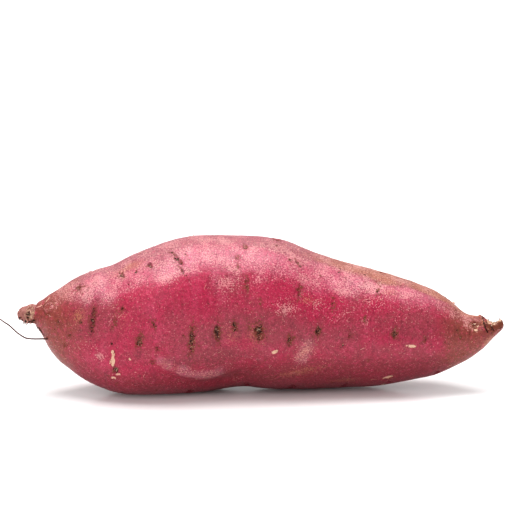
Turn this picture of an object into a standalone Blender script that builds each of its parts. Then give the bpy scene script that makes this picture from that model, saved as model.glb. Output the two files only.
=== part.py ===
"""Sweet potato: one storage root lying on its side, whole and unwashed, as it was grown.

Run it with: blender --background --python part.py
Units are metres, +Z up. The origin is on the table, under the middle of the root's box.
X runs along the root, from the cut stem end at -X to the torn root tip at +X. -Y is its front.
"""

import math
import random

import bmesh
import bpy
from mathutils import Vector, noise
from mathutils.bvhtree import BVHTree

# Driving dimensions
LENGTH = 0.200
THICKNESS = 0.066

# The outline below is how the root looks from this far above the table, seen from the front
VIEW_ELEVATION = math.radians(11.0)
VIEW_UP = Vector((0.0, math.sin(VIEW_ELEVATION), math.cos(VIEW_ELEVATION)))
VIEW_AHEAD = Vector((0.0, math.cos(VIEW_ELEVATION), -math.sin(VIEW_ELEVATION)))

# The eye of that view: its distance, and the place along and up the root that it looks straight at
EYE_DISTANCE = 2.5
EYE_ALONG, EYE_UP = 0.491, 0.866

# Outline: place along the length, then the top and bottom edges, as shares of the thickness
OUTLINE = (
    (0.000, 0.519, 0.512),
    (0.001, 0.531, 0.478),
    (0.004, 0.541, 0.466),
    (0.014, 0.553, 0.456),
    (0.025, 0.564, 0.447),
    (0.035, 0.572, 0.437),
    (0.045, 0.584, 0.405),
    (0.056, 0.603, 0.352),
    (0.066, 0.628, 0.292),
    (0.087, 0.663, 0.212),
    (0.107, 0.709, 0.167),
    (0.128, 0.744, 0.116),
    (0.149, 0.772, 0.081),
    (0.169, 0.794, 0.052),
    (0.190, 0.806, 0.029),
    (0.210, 0.834, 0.012),
    (0.231, 0.869, 0.004),
    (0.272, 0.919, 0.000),
    (0.313, 0.964, 0.003),
    (0.355, 0.992, 0.009),
    (0.396, 1.000, 0.022),
    (0.437, 0.998, 0.044),
    (0.468, 0.996, 0.053),
    (0.499, 0.991, 0.041),
    (0.530, 0.980, 0.034),
    (0.561, 0.956, 0.035),
    (0.602, 0.903, 0.034),
    (0.643, 0.859, 0.039),
    (0.685, 0.822, 0.045),
    (0.726, 0.791, 0.048),
    (0.767, 0.755, 0.066),
    (0.808, 0.716, 0.089),
    (0.850, 0.666, 0.114),
    (0.870, 0.634, 0.134),
    (0.891, 0.594, 0.162),
    (0.911, 0.534, 0.192),
    (0.924, 0.506, 0.211),
    (0.938, 0.495, 0.238),
    (0.953, 0.495, 0.273),
    (0.965, 0.489, 0.303),
    (0.977, 0.481, 0.342),
    (0.990, 0.470, 0.384),
    (0.996, 0.461, 0.409),
    (0.999, 0.447, 0.422),
    (1.000, 0.436, 0.432),
)

# Front to back breadth of a section as a share of its height, at places along the length
BREADTH = (
    (0.00, 1.05),
    (0.06, 0.96),
    (0.22, 1.05),
    (0.45, 0.96),
    (0.70, 1.06),
    (0.90, 1.00),
    (0.96, 0.86),
    (1.00, 1.00),
)

# How far the middle of a section lies behind the long axis, as a share of the thickness
SWAY = ((0.0, -0.08), (0.22, -0.05), (0.45, 0.03), (0.68, 0.09), (0.86, 0.07), (1.0, -0.01))

SIDES = 36
RING_PITCH = 0.0027
FOOT_DEPTH = 0.0009  # how much of the rounded belly is flat where it rests on the table
FOOT_SNAP = 0.00005  # points this near the table are set on it, so that the cut leaves no slivers

# Lobes of the cross section: count around, depth as a share of the radius, turns along the length
LOBES = ((2, 0.012, 0.6), (3, 0.026, 0.45), (5, 0.013, -0.8))
SWELL_SIZE = 0.030  # wavelength of the slow swellings of the skin
SWELL_ACROSS = 1.3  # they follow one another this much faster across than along
SWELL_SHARE = 0.030  # their height as a share of the radius

# Scars of old side roots that show from the front:
# place along the length, height as a share of the thickness, length round the root, width, lean in degrees
FRONT_SCARS = (
    (0.125, 0.667, 0.0035, 0.0030, 20),
    (0.153, 0.459, 0.0125, 0.0021, 8),
    (0.214, 0.746, 0.0050, 0.0018, -28),
    (0.214, 0.533, 0.0024, 0.0020, 10),
    (0.251, 0.331, 0.0060, 0.0023, 8),
    (0.272, 0.809, 0.0050, 0.0020, -30),
    (0.280, 0.444, 0.0058, 0.0015, -25),
    (0.330, 0.844, 0.0095, 0.0017, -30),
    (0.359, 0.341, 0.0150, 0.0018, 2),
    (0.411, 0.384, 0.0080, 0.0024, -4),
    (0.447, 0.424, 0.0050, 0.0017, -6),
    (0.468, 0.922, 0.0045, 0.0016, -20),
    (0.472, 0.688, 0.0068, 0.0018, 0),
    (0.497, 0.394, 0.0085, 0.0032, -2),
    (0.561, 0.344, 0.0046, 0.0019, 4),
    (0.580, 0.814, 0.0052, 0.0018, -35),
    (0.581, 0.643, 0.0065, 0.0018, 0),
    (0.619, 0.397, 0.0045, 0.0021, 8),
    (0.650, 0.561, 0.0058, 0.0014, 4),
    (0.684, 0.372, 0.0026, 0.0018, 0),
    (0.746, 0.688, 0.0042, 0.0014, -35),
    (0.777, 0.381, 0.0044, 0.0024, 0),
    (0.841, 0.342, 0.0018, 0.0014, 0),
    (0.943, 0.429, 0.0041, 0.0034, 12),
)
SCAR_DEPTH_SHARE = 0.32  # of a scar's width
SCAR_DEPTH_MOST = 0.0010
SCAR_SPREAD = 1.5  # the skin starts to sink at this many times a scar's half length and half width
SCAR_RIM = 0.0013  # how far past a scar the skin is modelled more finely
SCAR_CUTS = 2

# Scars on the sides that the front view doesn't reach: rows along the root, at these turns
# round its core. 0 degrees is the front, 90 the top and 180 the back
CORE_HEIGHT = ((0.0, 0.50), (0.20, 0.43), (0.42, 0.50), (0.62, 0.46), (0.85, 0.39), (1.0, 0.43))
HIDDEN_ROWS = (102, 138, 176, 214, 250, 288)
HIDDEN_FROM, HIDDEN_TO = 0.13, 0.90
HIDDEN_PITCH = 0.115  # from one scar of a row to the next, as a share of the length
HIDDEN_GAPS = (0.75, 1.25)  # least and most of that pitch
HIDDEN_STRAY = 7  # degrees to either side of the row
HIDDEN_LENGTHS = (0.0035, 0.0095)
HIDDEN_WIDTHS = (0.0016, 0.0028)
HIDDEN_LEAN = 20  # degrees to either side of upright
HIDDEN_SEED = 11

# The root tip is torn off: a bite with this centre along and up, its radii along, across and up
BITE_ALONG, BITE_UP = 0.9755, 0.488
BITE_RADII = (0.0046, 0.0060, 0.0044)

# Corky ends: how far the rough tissue reaches from each end, its grain and its relief
CORK_REACH = (0.0085, 0.0130)
CORK_GRAIN = 0.0021
CORK_RELIEF = 0.00055

SKIN_COLOUR = (0.446, 0.056, 0.109, 1.0)
SKIN_ROUGHNESS = 0.5


def clear_scene():
    for obj in list(bpy.data.objects):
        bpy.data.objects.remove(obj, do_unlink=True)


def through(points, t):
    """A smooth curve through points, one for each whole number t (Catmull-Rom)."""
    last = len(points) - 1
    i = min(int(t), last - 1)
    f = t - i
    before, start, end, after = (points[min(max(i + k, 0), last)] for k in (-1, 0, 1, 2))
    return tuple(
        0.5 * (2 * b + (c - a) * f + (2 * a - 5 * b + 4 * c - d) * f**2 + (3 * b - a - 3 * c + d) * f**3)
        for a, b, c, d in zip(before, start, end, after)
    )


def along_table(table, along):
    """The value of a (place, value) table at a place along the length, eased between its rows."""
    for (a, value_a), (b, value_b) in zip(table, table[1:]):
        if along <= b:
            f = max(0.0, (along - a) / (b - a))
            return value_a + (value_b - value_a) * f * f * (3 - 2 * f)
    return table[-1][1]


def stations():
    """(along, top, bottom) of each ring, closer together where the outline turns quickly."""
    made = []
    for i, ((s0, top0, low0), (s1, top1, low1)) in enumerate(zip(OUTLINE, OUTLINE[1:])):
        reach = math.hypot((s1 - s0) * LENGTH, max(abs(top1 - top0), abs(low1 - low0)) * THICKNESS)
        steps = max(1, round(reach / RING_PITCH))
        made += [through(OUTLINE, i + k / steps) for k in range(steps)]
    return made[1:]


def section(along, top, bottom):
    """The points of the cross section at a place along the root, SIDES of them, front first."""
    x = (along - 0.5) * LENGTH
    height = (top - bottom) * THICKNESS
    half_depth = height * along_table(BREADTH, along) / 2
    sway = along_table(SWAY, along) * THICKNESS
    points = []
    for side in range(SIDES):
        turn = 2 * math.pi * side / SIDES
        stretch = 1.0
        for count, depth, twist in LOBES:
            stretch += depth * math.cos(count * turn + 2 * math.pi * twist * along + count)
        y = -half_depth * math.cos(turn)
        z = height / 2 * math.sin(turn)
        stretch += SWELL_SHARE * noise.noise(Vector((x, y * SWELL_ACROSS, z * SWELL_ACROSS)) / SWELL_SIZE)
        points.append(Vector((x, sway + y * stretch, z * stretch)))
    # Each section is fitted to the outline, as it is seen from the front
    heights = [p.dot(VIEW_UP) for p in points]
    least, most = min(heights), max(heights)
    for p, seen in zip(points, heights):
        share = (seen - least) / (most - least)
        wanted = (bottom + (top - bottom) * share) * THICKNESS
        p.z = (wanted - p.y * VIEW_UP.y) / VIEW_UP.z
    return points


def body_of_rings():
    """The whole root as rings joined by faces, closed by a fan at each end."""
    bm = bmesh.new()
    rings = [[bm.verts.new(p) for p in section(*place)] for place in stations()]
    for ring, following in zip(rings, rings[1:]):
        for side in range(SIDES):
            after = (side + 1) % SIDES
            bm.faces.new((ring[side], ring[after], following[after], following[side]))
    for ring, place in ((rings[0], OUTLINE[0]), (rings[-1], OUTLINE[-1])):
        middle = sum((v.co for v in ring), Vector()) / SIDES
        middle.x = (place[0] - 0.5) * LENGTH
        pole = bm.verts.new(middle)
        for side in range(SIDES):
            bm.faces.new((ring[side], ring[(side + 1) % SIDES], pole))
    bmesh.ops.recalc_face_normals(bm, faces=bm.faces)
    return bm


def in_view(along, up):
    """The point of the upright plane through the long axis that the front view shows at (along, up)."""
    return Vector(((along - 0.5) * LENGTH, 0.0, 0.0)) + VIEW_UP * (up * THICKNESS)


def seen_point(tree, along, up):
    """Where the front view's line of sight through (along, up) meets the skin, and the normal there."""
    eye = in_view(EYE_ALONG, EYE_UP) - VIEW_AHEAD * EYE_DISTANCE
    place, normal, _, _ = tree.ray_cast(eye, in_view(along, up) - eye)
    return place, normal


def turned_point(tree, along, turn):
    """Where a line from the root's core, turned from the front by turn, meets the skin."""
    core = Vector(
        (
            (along - 0.5) * LENGTH,
            along_table(SWAY, along) * THICKNESS,
            along_table(CORE_HEIGHT, along) * THICKNESS,
        )
    )
    outward = Vector((0.0, -math.cos(turn), math.sin(turn)))
    place, normal, _, _ = tree.ray_cast(core, outward)
    return place, normal


def all_scars(tree):
    """Each scar as (place, normal, direction of its length, half length, half width)."""
    scars = []
    for along, up, length, width, lean in FRONT_SCARS:
        place, normal = seen_point(tree, along, up)
        scars.append((place, normal, scar_direction(normal, lean), length / 2, width / 2))
    draw = random.Random(HIDDEN_SEED)
    for row, degrees in enumerate(HIDDEN_ROWS):
        along = HIDDEN_FROM + HIDDEN_PITCH * (0.25 + 0.5 * (row % 2))
        while along < HIDDEN_TO:
            turn = math.radians(degrees + draw.uniform(-HIDDEN_STRAY, HIDDEN_STRAY))
            place, normal = turned_point(tree, along, turn)
            length = draw.uniform(*HIDDEN_LENGTHS)
            width = draw.uniform(*HIDDEN_WIDTHS)
            direction = scar_direction(normal, draw.uniform(-HIDDEN_LEAN, HIDDEN_LEAN))
            scars.append((place, normal, direction, length / 2, width / 2))
            along += HIDDEN_PITCH * draw.uniform(*HIDDEN_GAPS)
    return scars


def scar_direction(normal, lean):
    """The direction of a scar's length: round the root, leaning by some degrees from upright."""
    across = normal.cross(Vector((1.0, 0.0, 0.0))).normalized()
    if across.z < 0:
        across = -across
    along = across.cross(normal).normalized()
    if along.x < 0:
        along = -along
    return across * math.cos(math.radians(lean)) + along * math.sin(math.radians(lean))


def scar_reach(point, scar):
    """How far a point lies from a scar's middle, 1 at its rim, or over 1 outside it."""
    place, normal, direction, half_length, half_width = scar
    offset = point - place
    if offset.length > SCAR_SPREAD * (half_length + half_width):
        return math.inf
    sideways = direction.cross(normal)
    return math.hypot(offset.dot(direction) / half_length, offset.dot(sideways) / half_width)


def refine_at_scars(bm, scars):
    """Cuts the faces under each scar smaller, so that its hollow has a shape."""
    wanted = set()
    for place, normal, direction, half_length, half_width in scars:
        reached = (place, normal, direction, half_length + SCAR_RIM, half_width + SCAR_RIM)
        wanted.update(f for f in bm.faces if scar_reach(f.calc_center_median(), reached) < 1.0)
    edges = list({edge for face in wanted for edge in face.edges})
    bmesh.ops.subdivide_edges(bm, edges=edges, cuts=SCAR_CUTS, use_grid_fill=True)


def press_scars(bm, scars):
    """Sinks each scar below the skin, deepest along its middle."""
    bm.normal_update()
    moves = {}
    for scar in scars:
        _, normal, _, _, half_width = scar
        depth = min(SCAR_DEPTH_MOST, 2 * half_width * SCAR_DEPTH_SHARE)
        for vert in bm.verts:
            reach = scar_reach(vert.co, scar)
            if reach < SCAR_SPREAD:
                sink = depth * (1 - (reach / SCAR_SPREAD) ** 2) ** 2
                moves[vert] = moves.get(vert, Vector()) - normal * sink
    for vert, move in moves.items():
        vert.co += move


def roughen_ends(bm):
    """Gives the corky stem end and the root tip lumps and pits, which fade in over half their reach."""
    bm.normal_update()
    moves = []
    for vert in bm.verts:
        near = max(
            1 - (vert.co.x + LENGTH / 2) / CORK_REACH[0],
            1 - (LENGTH / 2 - vert.co.x) / CORK_REACH[1],
        )
        if near > 0:
            lump = noise.noise(vert.co / CORK_GRAIN)
            moves.append((vert, vert.normal * (CORK_RELIEF * min(1.0, 2 * near) * lump)))
    for vert, move in moves:
        vert.co += move


def set_on_table(bm):
    """Centres the root over the origin and flattens its lowest skin on the table."""
    low_x, high_x = min(v.co.x for v in bm.verts), max(v.co.x for v in bm.verts)
    low_y, high_y = min(v.co.y for v in bm.verts), max(v.co.y for v in bm.verts)
    low_z = min(v.co.z for v in bm.verts)
    shift = Vector((-(low_x + high_x) / 2, -(low_y + high_y) / 2, -low_z - FOOT_DEPTH))
    bmesh.ops.translate(bm, verts=bm.verts, vec=shift)
    for vert in bm.verts:
        if abs(vert.co.z) < FOOT_SNAP:
            vert.co.z = 0.0
    everything = bm.verts[:] + bm.edges[:] + bm.faces[:]
    table, upward = Vector(), Vector((0.0, 0.0, 1.0))
    bmesh.ops.bisect_plane(bm, geom=everything, plane_co=table, plane_no=upward, clear_inner=True)
    bmesh.ops.remove_doubles(bm, verts=bm.verts, dist=FOOT_SNAP)
    rims = [e for e in bm.edges if e.is_boundary]
    bmesh.ops.holes_fill(bm, edges=rims, sides=0)
    return shift


def skin_material():
    material = bpy.data.materials.new("sweet_potato_skin")
    material.use_nodes = True
    shader = material.node_tree.nodes["Principled BSDF"]
    shader.inputs["Base Color"].default_value = SKIN_COLOUR
    shader.inputs["Roughness"].default_value = SKIN_ROUGHNESS
    shader.inputs["Metallic"].default_value = 0.0
    return material


def tip_cutter(shift):
    """The rounded bite that is missing from the top of the root tip. It is a helper."""
    up = BITE_UP * THICKNESS
    y = along_table(SWAY, BITE_ALONG) * THICKNESS
    place = Vector(((BITE_ALONG - 0.5) * LENGTH, y, (up - y * VIEW_UP.y) / VIEW_UP.z)) + shift
    bpy.ops.mesh.primitive_ico_sphere_add(subdivisions=3, radius=1.0, location=place)
    cutter = bpy.context.object
    cutter.name = "tip_bite_cutter"
    cutter.scale = BITE_RADII
    bpy.ops.object.transform_apply(location=False, rotation=False, scale=True)
    cutter.hide_render = True
    cutter.display_type = "WIRE"
    return cutter


def main():
    clear_scene()
    bm = body_of_rings()
    scars = all_scars(BVHTree.FromBMesh(bm))
    refine_at_scars(bm, scars)
    press_scars(bm, scars)
    roughen_ends(bm)
    shift = set_on_table(bm)
    bmesh.ops.triangulate(bm, faces=bm.faces)
    mesh = bpy.data.meshes.new("sweet_potato")
    bm.to_mesh(mesh)
    bm.free()
    mesh.materials.append(skin_material())
    mesh.shade_smooth()
    root = bpy.data.objects.new("sweet_potato", mesh)
    bpy.context.scene.collection.objects.link(root)
    bite = root.modifiers.new("tip_bite", "BOOLEAN")
    bite.operation = "DIFFERENCE"
    bite.object = tip_cutter(shift)


main()
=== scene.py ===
"""Sweet potato, dressed for the studio: its skin with scars, corky ends and scuffs, its root hairs,
the flakes of skin beside a peeled spot, the fibres of its torn tip and the dried sap of its stem end.

Units are metres, +Z up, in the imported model's frame. The root lies along X with its stem end at -X
and its torn tip at +X, its front faces -Y, and the table is at Z = 0. Places on the front are given as
(along, up): shares of the root's length and thickness, as the front view shows them.
"""

import math
import random

import bpy
import numpy as np
from mathutils import Matrix, Vector, noise
from mathutils.bvhtree import BVHTree


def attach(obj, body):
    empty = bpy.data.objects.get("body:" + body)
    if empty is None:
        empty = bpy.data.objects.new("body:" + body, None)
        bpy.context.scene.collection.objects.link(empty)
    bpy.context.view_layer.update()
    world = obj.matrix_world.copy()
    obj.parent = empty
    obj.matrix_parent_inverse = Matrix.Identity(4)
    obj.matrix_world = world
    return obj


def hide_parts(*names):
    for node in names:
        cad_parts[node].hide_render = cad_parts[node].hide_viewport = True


bl_info = {
    "name": "Sweet potato",
    "version": (1, 0, 0),
    "blender": (4, 5, 0),
    "location": "View3D > Sidebar > Sweet potato",
    "description": "Dresses a sweet potato in scarred skin, root hairs and flakes, on a white studio floor",
    "category": "Object",
}

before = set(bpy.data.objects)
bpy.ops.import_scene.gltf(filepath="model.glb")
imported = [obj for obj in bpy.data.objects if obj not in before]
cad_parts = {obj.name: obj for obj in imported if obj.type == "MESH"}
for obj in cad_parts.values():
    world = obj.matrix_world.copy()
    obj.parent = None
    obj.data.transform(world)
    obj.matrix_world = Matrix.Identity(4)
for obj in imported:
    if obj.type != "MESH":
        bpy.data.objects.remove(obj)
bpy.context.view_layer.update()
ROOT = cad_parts["sweet_potato"]

# Driving dimensions, as in the part's own source
LENGTH = 0.200
THICKNESS = 0.066
VIEW_ELEVATION = math.radians(11.0)
VIEW_UP = Vector((0.0, math.sin(VIEW_ELEVATION), math.cos(VIEW_ELEVATION)))
VIEW_AHEAD = Vector((0.0, math.cos(VIEW_ELEVATION), -math.sin(VIEW_ELEVATION)))
EYE_DISTANCE = 2.5
EYE_ALONG, EYE_UP = 0.491, 0.866
SET_DOWN = Vector((0.00006, -0.00102, -0.00184))  # how far the root moved when it was set on the table

# The photograph's frame: its width, and the root's length in it, in pixels
PHOTO_PIXELS = 512
ROOT_PIXELS = 485

# The core of the root, as shares of the thickness behind and above the long axis
SWAY = ((0.0, -0.08), (0.22, -0.05), (0.45, 0.03), (0.68, 0.09), (0.86, 0.07), (1.0, -0.01))
CORE_HEIGHT = ((0.0, 0.50), (0.20, 0.43), (0.42, 0.50), (0.62, 0.46), (0.85, 0.39), (1.0, 0.43))

# Scars of old side roots: place along and up, length round the root, width, lean in degrees,
# how black the core is, and how brown the skin around it
SCARS = (
    (0.125, 0.667, 0.0035, 0.003, 20, 0.6, 0.8), (0.153, 0.459, 0.0125, 0.0021, 8, 0.9, 0.7),
    (0.214, 0.746, 0.005, 0.0018, -28, 1.0, 0.7), (0.214, 0.533, 0.0024, 0.002, 10, 0.75, 0.8),
    (0.251, 0.331, 0.006, 0.0023, 8, 0.8, 1.0), (0.272, 0.809, 0.005, 0.002, -30, 1.0, 0.6),
    (0.28, 0.444, 0.0058, 0.0015, -25, 0.6, 0.7), (0.33, 0.844, 0.0095, 0.0017, -30, 1.0, 0.6),
    (0.359, 0.341, 0.015, 0.0018, 2, 0.8, 0.9), (0.411, 0.384, 0.008, 0.0022, -4, 0.88, 1.0),
    (0.447, 0.424, 0.005, 0.0017, -6, 1.0, 0.9), (0.468, 0.922, 0.0045, 0.0016, -20, 0.35, 0.9),
    (0.472, 0.688, 0.0068, 0.0018, 0, 0.2, 0.7), (0.497, 0.394, 0.0085, 0.0032, -2, 1.0, 1.0),
    (0.561, 0.344, 0.0046, 0.0019, 4, 0.85, 0.9), (0.58, 0.814, 0.0052, 0.0018, -35, 1.0, 0.7),
    (0.581, 0.643, 0.0065, 0.0018, 0, 0.35, 0.7), (0.619, 0.397, 0.0045, 0.0018, 8, 0.78, 1.0),
    (0.65, 0.561, 0.0058, 0.0014, 4, 0.1, 0.6), (0.684, 0.372, 0.0026, 0.0018, 0, 0.85, 0.5),
    (0.746, 0.688, 0.0042, 0.0014, -35, 0.8, 0.4), (0.777, 0.381, 0.0044, 0.0022, 0, 0.66, 1.0),
    (0.841, 0.342, 0.0018, 0.0014, 0, 0.95, 0.6), (0.943, 0.429, 0.0041, 0.0034, 12, 0.35, 0.7),
)

# Dots and ticks that are too small for the solid, in the same terms
TICKS = (
    (0.228, 0.688, 0.001, 0.001, 0, 0.9, 0.2), (0.243, 0.766, 0.0018, 0.0014, 0, 0.8, 0.6),
    (0.258, 0.803, 0.0014, 0.001, 0, 0.7, 0.4), (0.346, 0.876, 0.002, 0.001, -30, 0.8, 0.5),
    (0.34, 0.77, 0.006, 0.0011, -30, 0.7, 0.7), (0.321, 0.88, 0.005, 0.0011, -30, 0.7, 0.7),
    (0.453, 0.856, 0.003, 0.0012, -10, 0.2, 0.9), (0.455, 0.8, 0.003, 0.0012, 0, 0.2, 0.8),
    (0.201, 0.458, 0.005, 0.0014, 0, 0.2, 0.8), (0.082, 0.451, 0.002, 0.0018, 0, 0.5, 0.7),
    (0.107, 0.372, 0.0016, 0.0014, 0, 0.6, 0.6), (0.096, 0.307, 0.003, 0.0014, 0, 0.1, 0.7),
    (0.194, 0.322, 0.0012, 0.0009, 0, 0.7, 0.5), (0.201, 0.153, 0.0034, 0.0024, 15, 1.0, 0.8),
    (0.286, 0.29, 0.0022, 0.0014, 0, 0.5, 0.7), (0.278, 0.204, 0.002, 0.0016, 0, 0.4, 0.8),
    (0.501, 0.574, 0.003, 0.001, 0, 0.1, 0.7), (0.562, 0.842, 0.0014, 0.0012, 0, 0.7, 0.8),
    (0.676, 0.814, 0.0016, 0.001, -45, 1.0, 0.4), (0.666, 0.784, 0.0014, 0.001, -45, 1.0, 0.4),
    (0.661, 0.763, 0.0009, 0.0009, 0, 1.0, 0.4), (0.716, 0.749, 0.001, 0.0009, -30, 1.0, 0.4),
    (0.716, 0.472, 0.0022, 0.0012, 0, 0.4, 0.9), (0.743, 0.643, 0.003, 0.0014, 0, 0.3, 0.9),
    (0.906, 0.4, 0.0018, 0.0014, 0, 0.4, 0.7), (0.913, 0.359, 0.002, 0.0014, 0, 0.4, 0.7),
    (0.129, 0.453, 0.002, 0.0012, 10, 0.8, 0.6), (0.021, 0.503, 0.0016, 0.0018, 20, 1.0, 0.6),
    (0.022, 0.478, 0.0016, 0.002, 0, 1.0, 0.6), (0.03, 0.456, 0.0014, 0.002, 0, 1.0, 0.6),
    (0.061, 0.349, 0.0012, 0.0012, 0, 1.0, 0.6), (0.07, 0.562, 0.0012, 0.0012, 0, 1.0, 0.4),
)

# The depth of a scar's pits, the depth of the valley round them and how far it reaches past them, round
# the root and along it, and how far the brown skin reaches past a scar and past a tick
SCAR_DEPTH = 0.0010
VALLEY_DEPTH, VALLEY_MARGINS = 0.00022, (0.0022, 0.0030)
SCAR_MARGIN, TICK_MARGIN = 0.0009, 0.0005

# Buds that never grew: small rings on the skin, as place along and up, radius and height
BUDS = (
    (0.0625, 0.545, 0.0017, 0.00050),
    (0.1370, 0.658, 0.0012, 0.00025),
    (0.0837, 0.450, 0.0007, 0.00015),
    (0.9420, 0.424, 0.0015, 0.00030),
)

# Lenticels, the small breathing pores of the skin: how many, the stretch of the length that they lie on,
# and the least and most of their sizes
LENTICELS = 120
LENTICEL_SPAN = (0.05, 0.95)
LENTICEL_LENGTHS = (0.0007, 0.0018)
LENTICEL_WIDTHS = (0.0006, 0.0010)
LENTICEL_SEED = 23

# Patches of the unseen sides: how many of each kind, the least and most of their sizes, and the stretch
# of the length that they lie on
HIDDEN_PATCHES = (
    ("brown", 8, 0.020, 0.050),
    ("tan", 12, 0.006, 0.016),
    ("dust_and_sheen", 12, 0.006, 0.016),
    ("flesh", 6, 0.0016, 0.0045),
)
HIDDEN_PATCH_SPAN = (0.10, 0.92)
HIDDEN_PATCH_SEED = 31

# Patches of other skin, by the mask that they add to: place along and up, size round the root and
# along it, lean in degrees, and amount
PATCHES = {
    "brown": (
        (0.49, 0.43, 0.02, 0.056, 0, 1.0), (0.39, 0.37, 0.018, 0.03, 0, 1.0),
        (0.62, 0.37, 0.018, 0.05, 0, 0.8), (0.4, 0.24, 0.012, 0.05, 0, 0.8),
        (0.15, 0.48, 0.028, 0.044, 0, 0.9), (0.5, 0.12, 0.01, 0.06, 0, 0.9),
        (0.82, 0.44, 0.022, 0.05, 0, 0.9), (0.8, 0.3, 0.012, 0.05, 0, 0.6),
        (0.956, 0.43, 0.008, 0.0045, 0, 1.0), (0.25, 0.25, 0.012, 0.03, 0, 0.6),
        (0.201, 0.158, 0.006, 0.005, 0, 1.0),
    ),
    "halo": (
        (0.967, 0.43, 0.006, 0.0046, 0, 0.75), (0.978, 0.39, 0.006, 0.005, 0, 0.6),
        (0.99, 0.43, 0.0016, 0.005, -10, 0.9), (0.478, 0.42, 0.006, 0.005, 0, 0.55),
        (0.508, 0.372, 0.007, 0.005, 0, 0.45), (0.2005, 0.155, 0.0026, 0.002, 0, 0.7),
    ),
    "tan": (
        (0.229, 0.8, 0.012, 0.02, 0, 0.8), (0.126, 0.49, 0.009, 0.009, 0, 0.7),
        (0.591, 0.266, 0.013, 0.008, 30, 0.8), (0.215, 0.5, 0.016, 0.01, 0, 0.4),
        (0.36, 0.36, 0.016, 0.008, 0, 0.4), (0.49, 0.37, 0.013, 0.011, 0, 0.6),
        (0.44, 0.37, 0.011, 0.012, 0, 0.5), (0.6, 0.59, 0.006, 0.018, 0, 0.6),
        (0.767, 0.64, 0.006, 0.015, 0, 0.6), (0.58, 0.14, 0.008, 0.026, -12, 0.65),
        (0.67, 0.09, 0.005, 0.022, 0, 0.6), (0.763, 0.105, 0.003, 0.005, 20, 1.0),
        (0.942, 0.426, 0.005, 0.005, 0, 1.0), (0.958, 0.44, 0.005, 0.0034, 0, 0.8),
        (0.97, 0.335, 0.0045, 0.009, -35, 0.9),
    ),
    # Pale patches: a scuffed patch low on the front, and a painted highlight high near the stem end
    "bloom_and_sheen": (
        (0.591, 0.26, 0.014, 0.008, 30, 1.2), (0.163, 0.728, 0.006, 0.008, 0, 1.6),
    ),
    "dust_and_sheen": (
        (0.591, 0.26, 0.013, 0.008, 30, 0.6), (0.427, 0.69, 0.009, 0.01, 0, 0.9),
        (0.169, 0.241, 0.004, 0.005, 0, 1.0), (0.156, 0.3, 0.005, 0.006, 0, 0.5),
        (0.53, 0.93, 0.01, 0.018, 0, 0.8), (0.555, 0.534, 0.006, 0.011, 0, 0.9),
        (0.616, 0.572, 0.007, 0.012, 0, 0.7), (0.716, 0.453, 0.006, 0.005, 0, 0.8),
        (0.73, 0.59, 0.012, 0.018, 0, 0.6), (0.194, 0.59, 0.014, 0.014, 0, 0.4),
        # The first patch on the next line is a painted highlight high near the stem end
        (0.163, 0.728, 0.006, 0.008, 0, 1.2), (0.283, 0.828, 0.008, 0.012, 0, 0.8),
        (0.943, 0.43, 0.006, 0.006, 0, 0.6),
    ),
    "flesh": (
        (0.1955, 0.209, 0.0048, 0.0016, 4, 1.0), (0.195, 0.267, 0.0018, 0.0012, 8, 1.0),
        (0.231, 0.218, 0.0011, 0.001, 0, 1.0), (0.064, 0.606, 0.0004, 0.002, -45, 0.8),
        (0.53, 0.266, 0.0015, 0.0028, -35, 1.0), (0.812, 0.302, 0.0014, 0.005, 8, 0.85),
        (0.763, 0.107, 0.0026, 0.0048, -20, 0.72), (0.944, 0.404, 0.0012, 0.0022, 10, 0.7),
        (0.948, 0.43, 0.0012, 0.001, 0, 0.7), (0.935, 0.436, 0.0016, 0.0012, 0, 0.62),
        (0.942, 0.446, 0.001, 0.0014, 0, 0.6),
    ),
}

# The thickness of the skin, which is how deep the flesh lies where it is torn off
TORN_STEP = 0.00022

# Folds of the skin: places along and up that each one follows, its width, its height (a crease is
# below zero), and how much pale skin is painted on its ridge, as scuffed skin and a painted highlight
FOLDS = (
    (((0.300, 0.205), (0.325, 0.165), (0.355, 0.138), (0.385, 0.127), (0.410, 0.140)), 0.0060, 0.0009, 1.0),
    (((0.295, 0.125), (0.335, 0.085), (0.385, 0.068), (0.430, 0.095), (0.460, 0.130)), 0.0060, -0.0009, 0.0),
    (((0.470, 0.240), (0.495, 0.222), (0.520, 0.203)), 0.0022, 0.0002, 0.4),
    (((0.150, 0.560), (0.152, 0.460), (0.148, 0.340)), 0.0070, -0.0006, 0.0),
)

# How much lower (below zero) or higher the painted highlight of the upper skin, a pale film, ends, by place
# along
SHEEN_EDGE = (
    (0.0, 0.0), (0.18, 0.0), (0.26, 0.12), (0.38, 0.06),
    (0.50, -0.12), (0.62, -0.04), (0.76, 0.12), (1.0, 0.08),
)

# Cracks in the skin of the tip: places along and up, width, depth
CRACKS = (
    (((0.9600, 0.466), (0.9592, 0.458), (0.9647, 0.415), (0.9687, 0.389)), 0.00036, 0.0007),
    (((0.9742, 0.424), (0.9780, 0.412), (0.9819, 0.401)), 0.00032, 0.0005),
)

# Scars and patches of the sides that the front view doesn't reach, in rows at these turns round the
# core: 0 degrees is the front, 90 the top and 180 the back. The scars' rule is the part's own
HIDDEN_ROWS = (102, 138, 176, 214, 250, 288)
HIDDEN_FROM, HIDDEN_TO = 0.13, 0.90
HIDDEN_PITCH = 0.115
HIDDEN_GAPS = (0.75, 1.25)
HIDDEN_STRAY = 7
HIDDEN_LENGTHS = (0.0035, 0.0095)
HIDDEN_WIDTHS = (0.0016, 0.0028)
HIDDEN_LEAN = 20
HIDDEN_SEED = 11

# The last row shows along the lower edge from the front, where the skin bears faint marks only
LOW_ROW_TONE = 0.3

# How far from its middle a mark may change the skin, the least cosine between its normal and the skin's,
# and how far past its length the finer mesh round it may reach
MARK_REACH, MARK_FACING, MARK_SURROUNDINGS = 0.03, 0.2, 0.004

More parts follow.
